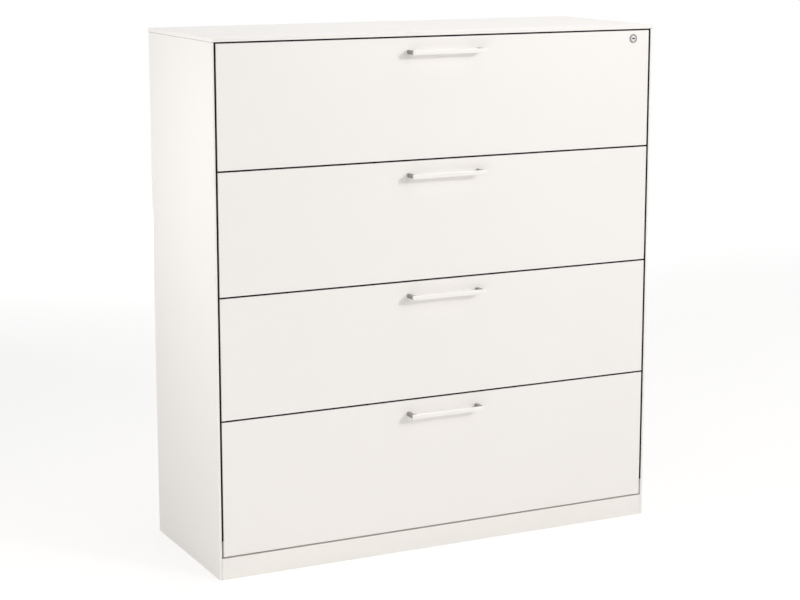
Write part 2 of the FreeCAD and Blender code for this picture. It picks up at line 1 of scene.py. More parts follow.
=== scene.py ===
"""A white lateral filing cabinet: four drawers on full extension slides and a central lock.

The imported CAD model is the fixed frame. This script gives its pieces their finishes and adds
the small pieces that the solids leave out. Metres throughout; the fronts face -Y.
"""

import json
import logging
import math
from collections.abc import Callable, Iterator, Sequence
from contextlib import contextmanager
from dataclasses import dataclass
from enum import Enum
from typing import Any

import bmesh
import bpy
from mathutils import Matrix, Vector

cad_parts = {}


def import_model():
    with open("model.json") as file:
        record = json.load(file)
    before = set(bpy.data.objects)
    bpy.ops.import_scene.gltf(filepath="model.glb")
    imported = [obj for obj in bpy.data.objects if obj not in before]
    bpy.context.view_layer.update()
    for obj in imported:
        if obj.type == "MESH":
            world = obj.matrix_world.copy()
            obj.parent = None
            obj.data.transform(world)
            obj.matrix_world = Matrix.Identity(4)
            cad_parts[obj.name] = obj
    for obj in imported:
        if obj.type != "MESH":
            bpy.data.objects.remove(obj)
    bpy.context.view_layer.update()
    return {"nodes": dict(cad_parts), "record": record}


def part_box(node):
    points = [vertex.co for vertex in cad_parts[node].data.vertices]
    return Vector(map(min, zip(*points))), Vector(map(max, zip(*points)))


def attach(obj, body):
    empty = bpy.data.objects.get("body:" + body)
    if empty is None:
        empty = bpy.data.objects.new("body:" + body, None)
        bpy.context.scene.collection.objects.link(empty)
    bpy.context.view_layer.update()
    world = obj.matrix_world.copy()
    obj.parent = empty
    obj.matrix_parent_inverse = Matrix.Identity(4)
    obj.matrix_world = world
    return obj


LOG = logging.getLogger("filing_cabinet")
MM = 0.001
DRAWER_COUNT = 4
# Two places this near count as the same, and two directions that agree this well as parallel.
CLOSE = 0.01 * MM
ALIGNED = 0.99
# Edges sharper than this stay sharp where a piece is shaded smooth.
SMOOTH_ANGLE = math.radians(32)
# The corners of a nut, or the lobes of a screw's socket.
LOBES = 6
QUAD_CORNERS = 4

Material = bpy.types.Material
Piece = bpy.types.Object
Tree = bpy.types.NodeTree
Socket = bpy.types.NodeSocket
Test = Callable[[Any], bool]


class Slot(str, Enum):
    """The record's material slots."""

    SHELL = "shell_paint"
    FRONT = "front_paint"
    HANDLE = "handle_paint"
    HANDLE_METAL = "handle_metal"
    INTERIOR = "interior_paint"
    ZINC = "zinc_steel"
    CHROME = "lock_chrome"


class Side(Enum):
    """The cabinet's two sides, with the sign that x has there."""

    LEFT = -1
    RIGHT = 1


def linear(hex_colour: str) -> tuple[float, float, float, float]:
    """Turn an sRGB colour into the linear values that a shader takes.

    Args:
        hex_colour: Six hex digits, with or without a leading #.

    Returns:
        Red, green, blue and an alpha of one.
    """
    digits = hex_colour.lstrip("#")
    # The sRGB curve: a straight foot, then a power.
    channels = [int(digits[start:start + 2], 16) / 255 for start in (0, 2, 4)]
    red, green, blue = (
        c / 12.92 if c <= 0.04045 else ((c + 0.055) / 1.055) ** 2.4 for c in channels
    )
    return red, green, blue, 1.0


def add_node(
    tree: Tree,
    kind: str,
    settings: dict[str, object] | None = None,
    values: dict[str | int, object] | None = None,
    links: dict[str | int, Socket] | None = None,
) -> bpy.types.Node:
    """Add one node to a tree.

    Args:
        tree: The node tree of a material or the world.
        kind: The node's type name, without the ShaderNode that all of them start with.
        settings: Properties of the node itself.
        values: Constant values for its input sockets.
        links: Output sockets that feed its input sockets.

    Returns:
        The new node.
    """
    node = tree.nodes.new(f"ShaderNode{kind}")
    for name, value in (settings or {}).items():
        setattr(node, name, value)
    for socket, value in (values or {}).items():
        node.inputs[socket].default_value = value
    for socket, source in (links or {}).items():
        tree.links.new(source, node.inputs[socket])
    return node


def new_material(name: str) -> tuple[Material, Tree, Socket]:
    """Start an empty material.

    Args:
        name: The material's name.

    Returns:
        The material, its tree, and the Object coordinates that its patterns read.
    """
    material = bpy.data.materials.new(name)
    material.use_nodes = True
    tree = material.node_tree
    tree.nodes.clear()
    place = add_node(tree, "TexCoord").outputs["Object"]
    return material, tree, place


@dataclass(frozen=True)
class PowderCoat:
    """Steel sheet, powder coated and baked.

    The powder melts into a skin with a very fine orange peel. It gives the eye a soft sheen
    whose edge is slightly broken up, over a white that varies a little from place to place.
    """

    name: str
    colour: str
    shade: str
    roughness: float = 0.42
    peel: float = 0.6
    # The peel's real spacing is about 1 mm. At this distance it is far under a pixel, so it is
    # drawn three times as coarse, to show in close views.
    peel_spacing_mm: float = 3.0
    cloud_spacing_mm: float = 260.0
    peel_height_mm: float = 0.1
    gloss_range: tuple[float, float] = (-0.04, 0.05)

    def build(self) -> Material:
        """Make the material.

        Returns:
            The material.
        """
        material, tree, place = new_material(self.name)
        clouds = add_node(
            tree, "TexNoise",
            values={"Scale": 1 / (self.cloud_spacing_mm * MM), "Detail": 2.0, "Roughness": 0.5},
            links={"Vector": place},
        )
        tint = add_node(
            tree, "Mix", settings={"data_type": "RGBA"},
            values={6: linear(self.colour), 7: linear(self.shade)},
            links={0: clouds.outputs["Fac"]},
        )
        peel = add_node(
            tree, "TexNoise",
            values={"Scale": 1 / (self.peel_spacing_mm * MM), "Detail": 3.0, "Roughness": 0.55},
            links={"Vector": place},
        )
        gloss = add_node(
            tree, "MapRange",
            values={
                "To Min": self.roughness + self.gloss_range[0],
                "To Max": self.roughness + self.gloss_range[1],
            },
            links={"Value": peel.outputs["Fac"]},
        )
        bump = add_node(
            tree, "Bump",
            values={"Strength": self.peel, "Distance": self.peel_height_mm * MM},
            links={"Height": peel.outputs["Fac"]},
        )
        paint = add_node(
            tree, "BsdfPrincipled",
            values={"IOR": 1.5},
            links={
                "Base Color": tint.outputs[2],
                "Roughness": gloss.outputs["Result"],
                "Normal": bump.outputs["Normal"],
            },
        )
        add_node(tree, "OutputMaterial", links={"Surface": paint.outputs["BSDF"]})
        return material


@dataclass(frozen=True)
class MouldedPlastic:
    """Rubber or plastic, extruded or moulded: matt, with a faint grain left by the tool."""

    name: str
    colour: str
    shade: str
    roughness: float
    grain_mm: float
    grain_depth: float = 0.15
    specular: float = 0.5
    grain_height_mm: float = 0.1

    def build(self) -> Material:
        """Make the material.

        Returns:
            The material.
        """
        material, tree, place = new_material(self.name)
        grain = add_node(
            tree, "TexNoise",
            values={"Scale": 1 / (self.grain_mm * MM), "Detail": 3.0, "Roughness": 0.6},
            links={"Vector": place},
        )
        tint = add_node(
            tree, "Mix", settings={"data_type": "RGBA"},
            values={6: linear(self.colour), 7: linear(self.shade)},
            links={0: grain.outputs["Fac"]},
        )
        bump = add_node(
            tree, "Bump",
            values={"Strength": self.grain_depth, "Distance": self.grain_height_mm * MM},
            links={"Height": grain.outputs["Fac"]},
        )
        skin = add_node(
            tree, "BsdfPrincipled",
            values={
                "IOR": 1.5, "Roughness": self.roughness, "Specular IOR Level": self.specular
            },
            links={"Base Color": tint.outputs[2], "Normal": bump.outputs["Normal"]},
        )
        add_node(tree, "OutputMaterial", links={"Surface": skin.outputs["BSDF"]})
        return material


@dataclass(frozen=True)
class BrushedMetal:
    """Bare or plated metal with the marks of rolling, brushing or casting.

    Fine streaks along one direction stretch the highlights across it and vary their gloss.
    """

    name: str
    colour: str
    shade: str
    roughness: float
    streak_mm: tuple[float, float, float]
    streak_depth: float = 0.08
    streak_height_mm: float = 0.05
    cloud_spacing_mm: float = 45.0
    gloss_range: tuple[float, float] = (-0.07, 0.1)

    def build(self) -> Material:
        """Make the material.

        Returns:
            The material.
        """
        material, tree, place = new_material(self.name)
        stretch = add_node(
            tree, "Mapping",
            values={"Scale": tuple(1 / (length * MM) for length in self.streak_mm)},
            links={"Vector": place},
        )
        streaks = add_node(
            tree, "TexNoise",
            values={"Scale": 1.0, "Detail": 3.0, "Roughness": 0.6},
            links={"Vector": stretch.outputs["Vector"]},
        )
        clouds = add_node(
            tree, "TexNoise",
            values={"Scale": 1 / (self.cloud_spacing_mm * MM), "Detail": 2.0},
            links={"Vector": place},
        )
        tint = add_node(
            tree, "Mix", settings={"data_type": "RGBA"},
            values={6: linear(self.colour), 7: linear(self.shade)},
            links={0: clouds.outputs["Fac"]},
        )
        gloss = add_node(
            tree, "MapRange",
            values={
                "To Min": self.roughness + self.gloss_range[0],
                "To Max": self.roughness + self.gloss_range[1],
            },
            links={"Value": streaks.outputs["Fac"]},
        )
        bump = add_node(
            tree, "Bump",
            values={"Strength": self.streak_depth, "Distance": self.streak_height_mm * MM},
            links={"Height": streaks.outputs["Fac"]},
        )
        metal = add_node(
            tree, "BsdfPrincipled",
            values={"Metallic": 1.0},
            links={
                "Base Color": tint.outputs[2],
                "Roughness": gloss.outputs["Result"],
                "Normal": bump.outputs["Normal"],
            },
        )
        add_node(tree, "OutputMaterial", links={"Surface": metal.outputs["BSDF"]})
        return material


Finish = PowderCoat | MouldedPlastic | BrushedMetal

FINISHES: dict[Slot, Finish] = {
    # Warm white with a soft sheen, the same paint on the whole shell.
    Slot.SHELL: PowderCoat("powder_coated_steel_shell", "#F4F0EB", "#F2EEE9"),
    # The fronts' paint: a trace cooler, so that they stand out from the shell.
    Slot.FRONT: PowderCoat("powder_coated_steel_front", "#F4F0EC", "#F2EEEA"),
    # Smoother and brighter, so that the bar shows a highlight along its top.
    Slot.HANDLE: PowderCoat(
        "powder_coated_aluminium_bar", "#F6F3EF", "#F4F0EC", roughness=0.35
    ),
    # Duller and a shade darker: a thinner coat, on sheet that hands and files rub.
    Slot.INTERIOR: PowderCoat(
        "powder_coated_steel_inside", "#E9E6E2", "#E6E3DF", roughness=0.5
    ),
    # Mid grey with a satin gleam, the only metal that shows on a closed drawer. Its grey is
    # partly a painted dark reflection.
    Slot.HANDLE_METAL: BrushedMetal(
        "satin_cast_zinc_leg_painted_reflection", "#A9A6A2", "#999693", roughness=0.38, streak_mm=(2.0, 2.0, 2.0)
    ),
    # Cool bright grey, streaked along the rolled profiles.
    Slot.ZINC: BrushedMetal(
        "zinc_plated_steel", "#C3C6C9", "#B4B8BC", roughness=0.34, streak_mm=(0.8, 40.0, 0.8)
    ),
    # Nearly a mirror: it takes the tone of the room.
    Slot.CHROME: BrushedMetal(
        "polished_chrome_plate", "#DADBDD", "#D2D4D6",
        roughness=0.14, streak_mm=(1.5, 1.5, 1.5), streak_depth=0.02,
    ),
}
# Darker than the core, a painted reflection: the lock reads as a grey ring round a bright disc.
LOCK_RING_PAINTED_REFLECTION = BrushedMetal(
    "satin_nickel_plated_zinc_ring_painted_reflection", "#8E8C89", "#7C7A77",
    roughness=0.3, streak_mm=(1.5, 1.5, 1.5), streak_depth=0.04,
)
# Dull brass, almost black: a painted shade inside the key slot.
KEYWAY_SHADE_BRASS = BrushedMetal(
    "stamped_brass_painted_keyway_shade", "#2E2A24", "#26231F", roughness=0.5, streak_mm=(0.4, 0.4, 0.4)
)
# Matt warm black: a painted shade, which makes the gaps read as dark lines.
GAP_SHADE_BLACK = MouldedPlastic(
    "black_strip_painted_gap_shade", "#120F0D", "#191614", roughness=0.85, grain_mm=0.8, specular=0.1
)
# Waxy white, a little duller than the paint round it.
PLASTIC = MouldedPlastic(
    "moulded_white_polyethylene", "#E4E2DE", "#DCDAD6", roughness=0.5, grain_mm=0.6
)


def dress_nodes(frame: dict[str, Any], made: dict[Slot, Material]) -> None:
    """Give every CAD node its slot's finish; the lock's ring gets a painted dark reflection.

    Args:
        made: The material of each slot.
    """
    # The ring's darker grey is a painted reflection.
    ring = LOCK_RING_PAINTED_REFLECTION.build()
    for part in frame["record"]["subparts"]:
        name = part["node"]
        material = ring if name == "lock_housing" else made[Slot(part["material_slot"])]
        materials = frame["nodes"][name].data.materials
        materials.clear()
        materials.append(material)


class Pick(str, Enum):
    """What a test picks in edit mode."""

    FACES = "FACE"
    EDGES = "EDGE"
    POINTS = "VERT"


def drop_selection() -> None:
    """Deselect everything, because an operator acts on all that is selected."""
    bpy.ops.object.select_all(action="DESELECT")


def select_only(parts: list[Piece]) -> None:
    """Select some pieces alone, and make the first of them the active one.

    Args:
        parts: The pieces.
    """
    drop_selection()
    for part in parts:
        part.select_set(True)
    bpy.context.view_layer.objects.active = parts[0]


def new_piece(name: str) -> Piece:
    """Name the shape that an operator has just made, and put its place into its mesh.

    Args:
        name: The piece's name.

    Returns:
        The piece.
    """
    piece = bpy.context.object
    piece.name = name
    bpy.ops.object.transform_apply(location=True, rotation=True, scale=True)
    return piece


def block(name: str, low: Vector, high: Vector) -> Piece:
    """Start a piece from a block between two corners.

    Args:
        name: The piece's name.
        low: Its lowest corner.
        high: Its highest corner.

    Returns:
        The block.
    """
    drop_selection()
    bpy.ops.mesh.primitive_cube_add(size=1.0, location=(low + high) / 2, scale=high - low)
    return new_piece(name)


def round_blank(name: str, radius: float, length: float, sides: int) -> Piece:
    """Start a piece from a round blank that stands on the origin.

    Args:
        name: The piece's name.
        radius: The blank's radius.
        length: How far it stands up along +Z.
        sides: The number of flats round it.

    Returns:
        The blank.
    """
    drop_selection()
    bpy.ops.mesh.primitive_cylinder_add(
        vertices=sides, radius=radius, depth=length, location=(0, 0, length / 2)
    )
    return new_piece(name)


def pick(piece: Piece, kind: Pick, test: Test) -> None:
    """In edit mode, select what passes a test, and nothing else.

    Args:
        piece: The piece that is being edited.
        kind: Faces, edges or points.
        test: True for what is wanted.
    """
    bpy.ops.mesh.select_mode(type=kind.value)
    bpy.ops.mesh.select_all(action="DESELECT")
    mesh = bmesh.from_edit_mesh(piece.data)
    items = {Pick.FACES: mesh.faces, Pick.EDGES: mesh.edges, Pick.POINTS: mesh.verts}[kind]
    for item in items:
        if test(item):
            item.select_set(True)
    mesh.select_flush_mode()
    bmesh.update_edit_mesh(piece.data)


@contextmanager
def editing(piece: Piece) -> Iterator[Piece]:
    """Edit one piece's mesh, and leave edit mode after.

    Args:
        piece: The piece to edit.

    Returns:
        The same piece, in edit mode.
    """
    select_only([piece])
    bpy.ops.object.mode_set(mode="EDIT")
    yield piece
    bpy.ops.object.mode_set(mode="OBJECT")


def push_out(offset: Vector) -> None:
    """Extrude the selected faces by an offset."""
    bpy.ops.mesh.extrude_region_move(TRANSFORM_OT_translate={"value": offset})


def runs_along(axis: int) -> Test:
    """A test for edges that run along one axis.

    Args:
        axis: 0, 1 or 2 for X, Y or Z.

    Returns:
        The test.
    """

    def test(edge: Any) -> bool:
        """True for an edge along the axis."""
        span = edge.verts[1].co - edge.verts[0].co
        return abs(span[axis]) > ALIGNED * span.length

    return test


def lies_at(height: float) -> Test:
    """A test for edges that lie at one height."""
    return lambda edge: all(abs(v.co.z - height) < CLOSE for v in edge.verts)


def faces_towards(direction: Sequence[float]) -> Test:
    """A test for faces that look in one direction."""
    return lambda face: face.normal.dot(Vector(direction)) > ALIGNED


def rim_step(point: Any, sides: int) -> int:
    """Say how far a point of a round rim lies past the last of its lobes or corners.

    Args:
        point: A point of the rim.
        sides: How many points the rim has.

    Returns:
        The number of rim points between them.
    """
    turn = math.atan2(point.co.y, point.co.x) / math.tau
    return round(turn * sides) % (sides // LOBES)


def join(name: str, parts: list[Piece]) -> Piece:
    """Join small parts into one named piece.

    Args:
        name: The piece's name.
        parts: One part or more.

    Returns:
        The joined piece.
    """
    select_only(parts)
    if len(parts) > 1:
        bpy.ops.object.join()
    parts[0].name = name
    return parts[0]


def copies_of(pattern: Piece, places: list[Matrix]) -> list[Piece]:
    """Copy a pattern to each place, then remove the pattern.

    Args:
        pattern: The piece to copy.
        places: Where the copies go.

    Returns:
        The copies, each with its place in its own mesh.
    """
    copies: list[Piece] = []
    for place in places:
        twin = pattern.copy()
        twin.data = pattern.data.copy()
        bpy.context.scene.collection.objects.link(twin)
        twin.data.transform(place)
        copies.append(twin)
    bpy.data.objects.remove(pattern, do_unlink=True)
    return copies


def fit_piece(piece: Piece, material: Material, body: str) -> None:
    """Finish a piece: its material, smooth shading, and the body that carries it.

    Args:
        piece: The finished mesh.
        material: Its material.
        body: The CAD body that it rides on.
    """
    select_only([piece])
    piece.data.materials.clear()
    piece.data.materials.append(material)
    bpy.ops.object.shade_smooth_by_angle(angle=SMOOTH_ANGLE)
    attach(piece, body)
    LOG.info("%s: %d faces, rides on %s", piece.name, len(piece.data.polygons), body)


TOWARDS_REAR = Matrix.Rotation(math.radians(-90), 4, "X")


def sideways(sign: int) -> Matrix:
    """Turn a part that stands up along +Z so that it points along +X, or -X for a sign of -1."""
    return Matrix.Rotation(math.radians(90 * sign), 4, "Y")


@dataclass
class Fasteners:
    """Small fasteners, each modelled once as a pattern that stands up from the origin."""

    rivet_radius: float = 3.3 * MM
    rivet_height: float = 0.9 * MM
    rivet_sides: int = 20
    # Width and rise of the crown, width of the pin's end, slope and depth of its dimple: each
    # a share of the rivet's radius or height.
    crown_shares: tuple[float, float] = (0.32, 0.3)
    pin_share: float = 0.28
    dimple_shares: tuple[float, float] = (0.06, 0.5)
    rim_share: float = 0.35
    screw_radius: float = 3.6 * MM
    screw_height: float = 2.0 * MM
    screw_sides: int = 24
    head_rounding: float = 0.9 * MM
    socket_radius: float = 1.7 * MM
    socket_depth: float = 1.1 * MM
    lobe_share: float = 0.72

    def rivet(self) -> Piece:
        """Model the domed head of a blind rivet, with the dimple that its pin leaves.

        Returns:
            The head.
        """
        radius, height = self.rivet_radius, self.rivet_height
        crown_width, crown_rise = self.crown_shares
        dimple_slope, dimple_depth = self.dimple_shares
        with editing(round_blank("rivet", radius, height, self.rivet_sides)) as piece:
            pick(piece, Pick.FACES, faces_towards((0, 0, 1)))
            bpy.ops.mesh.inset(thickness=radius * crown_width, depth=height * crown_rise)
            bpy.ops.mesh.inset(thickness=radius * self.pin_share, depth=0.0)
            bpy.ops.mesh.inset(thickness=radius * dimple_slope, depth=-height * dimple_depth)
            pick(piece, Pick.EDGES, lies_at(height))
            bpy.ops.mesh.bevel(offset=height * self.rim_share, segments=2)
        return piece

    def screw(self) -> Piece:
        """Model the pan head of a screw with a six-lobed socket.

        Returns:
            The head.
        """
        blank = round_blank("screw", self.screw_radius, self.screw_height, self.screw_sides)
        with editing(blank) as piece:
            pick(piece, Pick.EDGES, lies_at(self.screw_height))
            bpy.ops.mesh.bevel(offset=self.head_rounding, segments=3)
            pick(piece, Pick.FACES, faces_towards((0, 0, 1)))
            flat_radius = self.screw_radius - self.head_rounding
            bpy.ops.mesh.inset(thickness=flat_radius - self.socket_radius, depth=0.0)
            pick(piece, Pick.POINTS, self.between_lobes)
            bpy.ops.transform.resize(value=(self.lobe_share, self.lobe_share, 1.0))
            pick(piece, Pick.FACES, lambda face: (
                face.normal.z > ALIGNED and len(face.verts) > QUAD_CORNERS
            ))
            push_out(Vector((0.0, 0.0, -self.socket_depth)))
        return piece

    def between_lobes(self, point: Any) -> bool:
        """True for the socket's points that lie between two of its six lobes."""
        in_socket = point.co.xy.length < self.socket_radius + CLOSE
        return in_socket and rim_step(point, self.screw_sides) in (0, 1)


@dataclass
class GapShadeStrips:
    """Matt black strips set a little behind the fronts in the gaps round the drawers: painted
    shade.

    Each is a rounded strip with a flat foot that is glued to the piece that carries it.
    """

    shade_black: Material
    setback: float = 0.8 * MM
    depth: float = 5.0 * MM
    clearance: float = 0.4 * MM
    rounding: float = 0.96 * MM
    foot_height: float = 0.8 * MM
    foot_margin: float = 0.6 * MM
    end_gap: float = 1.0 * MM
    # The side seals end this high above the foot of the lowest front.
    foot_rise: float = 40.0 * MM
    panel_edge: float = 6.0 * MM
    tape_width: float = 8.0 * MM
    tape_inset: float = 0.3 * MM
    tape_rounding_share: float = 0.4

    def lay(self, name: str, low: Vector, high: Vector, foot: Vector, body: str) -> None:
        """Model one strip and glue it on.

        Args:
            name: The piece's name.
            low: The lowest corner of the strip.
            high: Its highest corner.
            foot: The direction in which its foot lies.
            body: The CAD body that it is glued to.
        """
        long_axis = max(range(3), key=lambda axis: high[axis] - low[axis])
        middle = (low + high) / 2
        with editing(block(name, low, high)) as strip:
            pick(strip, Pick.FACES, faces_towards(foot))
            bpy.ops.mesh.inset(thickness=self.foot_margin, depth=0.0)
            bpy.ops.transform.translate(value=-foot * self.foot_height)
            push_out(foot * self.foot_height)
            pick(strip, Pick.EDGES, lambda edge: runs_along(long_axis)(edge) and all(
                (v.co - middle).dot(foot) < 0 for v in edge.verts
            ))
            bpy.ops.mesh.bevel(offset=self.rounding, segments=4)
        fit_piece(strip, self.shade_black, body)

    def build(self) -> None:
        """Line the two sides, the top, and the gaps between the fronts."""
        low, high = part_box("front_skin_1")
        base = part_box("front_skin_4")[0].z
        near = low.y + self.setback
        far = near + self.depth
        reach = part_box("side_panel_right")[1].x - self.panel_edge
        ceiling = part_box("top_cover")[0].z
        for side in Side:
            span = sorted((side.value * (high.x + self.clearance), side.value * reach))
            self.lay(
                f"side_gap_shade_{side.name.lower()}",
                Vector((span[0], near, base + self.foot_rise)),
                Vector((span[1], far, ceiling - self.end_gap)),
                Vector((side.value, 0, 0)), "cabinet",
            )
        up = Vector((0, 0, 1))
        for number in range(1, DRAWER_COUNT):
            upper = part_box(f"front_skin_{number}")[0].z
            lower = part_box(f"front_skin_{number + 1}")[1].z
            self.lay(
                f"front_gap_shade_{number}",
                Vector((low.x + self.end_gap, near, lower + self.clearance)),
                Vector((high.x - self.end_gap, far, upper)), up, f"drawer_{number}",
            )
        self.lay(
            "top_gap_shade",
            Vector((low.x + self.end_gap, near, high.z + self.clearance)),
            Vector((high.x - self.end_gap, far, ceiling)), up, "cabinet",
        )
        self.build_seam_shade_tapes(ceiling)

    def build_seam_shade_tapes(self, ceiling: float) -> None:
        """Lay thin black tapes, a painted shade, on the two side panels; the cover lies on them.

        Args:
            ceiling: Height of the cover's underside.
        """
        for side in Side:
            low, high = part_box(f"side_panel_{side.name.lower()}")
            outer = side.value * (max(abs(low.x), abs(high.x)) - self.tape_inset)
            span = sorted((outer, outer - side.value * self.tape_width))
            start = Vector((span[0], low.y + self.tape_inset, high.z))
            end = Vector((span[1], high.y - self.tape_inset, ceiling))
            name = f"cover_seam_shade_{side.name.lower()}"
            # Black tape in the seam under the cover: painted shade.
            with editing(block(name, start, end)) as tape:
                pick(tape, Pick.EDGES, runs_along(1))
                rounding = (ceiling - high.z) * self.tape_rounding_share
                bpy.ops.mesh.bevel(offset=rounding, segments=2)
                pick(tape, Pick.EDGES, lambda edge: (
                    runs_along(2)(edge) and abs(edge.verts[0].co.x - outer) < self.tape_inset
                ))
                bpy.ops.mesh.bevel(offset=self.tape_inset, segments=2)
            fit_piece(tape, self.shade_black, "cabinet")


@dataclass
class Keyway:
    """The key's way into the lock: the edge of the first wafer, and a ward above it."""

    size: tuple[float, float] = (9.0 * MM, 3.0 * MM)
    play: float = 0.1 * MM
    setback: float = 0.7 * MM
    depth: float = 7.0 * MM
    bore: float = 5.5 * MM
    wall: float = 0.4 * MM
    ward: tuple[float, float] = (1.6 * MM, 0.7 * MM)
    ward_at: float = 1.2 * MM
    ward_rounding: float = 0.28 * MM

    def build(self, brass: Material) -> None:
        """Model the wafer stack with its dark opening, just behind the core's face.

        Args:
            brass: The wafers' finish, near black: a painted shade in the key slot.
        """
        low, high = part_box("lock_core")
        axis = Vector(((low.x + high.x) / 2, low.y + self.setback, (low.z + high.z) / 2))
        reach = Vector((self.size[0] / 2 - self.play, 0.0, self.size[1] / 2 - self.play))
        deep = Vector((0.0, self.depth, 0.0))
        with editing(block("wafers", axis - reach, axis + reach + deep)) as wafers:
            pick(wafers, Pick.FACES, faces_towards((0, -1, 0)))
            bpy.ops.mesh.inset(thickness=self.wall, depth=0.0)
            push_out(Vector((0.0, self.bore, 0.0)))
            pick(wafers, Pick.EDGES, lambda edge: runs_along(1)(edge) and all(
                abs(v.co.x - axis.x) < reach.x - self.wall / 2 for v in edge.verts
            ))
            bpy.ops.mesh.bevel(offset=self.wall, segments=2)
        top = axis.z + reach.z - self.wall / 2
        start = Vector((axis.x + self.ward_at, axis.y + self.wall, top - self.ward[1]))
        end = Vector((start.x + self.ward[0], axis.y + self.bore, top))
        with editing(block("ward", start, end)) as ward:
            pick(ward, Pick.EDGES, lambda edge: (
                runs_along(1)(edge) and edge.verts[0].co.z < top - self.ward[1] / 2
            ))
            bpy.ops.mesh.bevel(offset=self.ward_rounding, segments=3)
        fit_piece(join("key_wafers", [wafers, ward]), brass, "lock_core")


@dataclass
class LockNut:
    """Hexagon nut that holds the lock's barrel against the inner pan of the top front."""

    corner_radius: float = 14.2 * MM
    bore_radius: float = 9.6 * MM
    thickness: float = 3.0 * MM
    chamfer: float = 0.7 * MM
    sides: int = 36

    def build(self, zinc: Material) -> None:
        """Model the nut as a ring, and draw its rim in to six flats.

        Args:
            zinc: The nut's finish.
        """
        low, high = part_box("lock_core")
        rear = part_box("front_inner_1")[1].y
        seat = Vector(((low.x + high.x) / 2, rear, (low.z + high.z) / 2))
        half_flat = math.pi / LOBES
        blank = round_blank("nut", self.corner_radius, self.thickness, self.sides)
        with editing(blank) as pattern:
            pick(pattern, Pick.FACES, lambda face: abs(face.normal.z) > ALIGNED)
            bpy.ops.mesh.inset(thickness=self.corner_radius - self.bore_radius, depth=0.0)
            bpy.ops.mesh.delete(type="FACE")
            pick(pattern, Pick.EDGES, lambda edge: edge.is_boundary)
            bpy.ops.mesh.bridge_edge_loops()
            # A flat's points lie one to five steps past a corner, in pairs about its middle.
            for steps in ((1, 5), (2, 4), (3,)):
                pick(pattern, Pick.POINTS, self.on_flat(steps))
                turn = half_flat - math.tau / self.sides * steps[0]
                share = math.cos(half_flat) / math.cos(turn)
                bpy.ops.transform.resize(value=(share, share, 1.0))
            pick(pattern, Pick.EDGES, lambda edge: not runs_along(2)(edge) and all(
                self.on_rim(v) and v.co.z > self.thickness / 2 for v in edge.verts
            ))
            bpy.ops.mesh.bevel(offset=self.chamfer, segments=2)
        place = Matrix.Translation(seat) @ TOWARDS_REAR
        nut = join("lock_nut", copies_of(pattern, [place]))
        fit_piece(nut, zinc, "drawer_1")

    def on_rim(self, point: Any) -> bool:
        """True for a point of the rim, false for one of the bore."""
        return point.co.xy.length > self.bore_radius + self.chamfer

    def on_flat(self, steps: tuple[int, ...]) -> Test:
        """A test for the rim's points that lie so many steps past one of the corners."""
        return lambda point: self.on_rim(point) and rim_step(point, self.sides) in steps


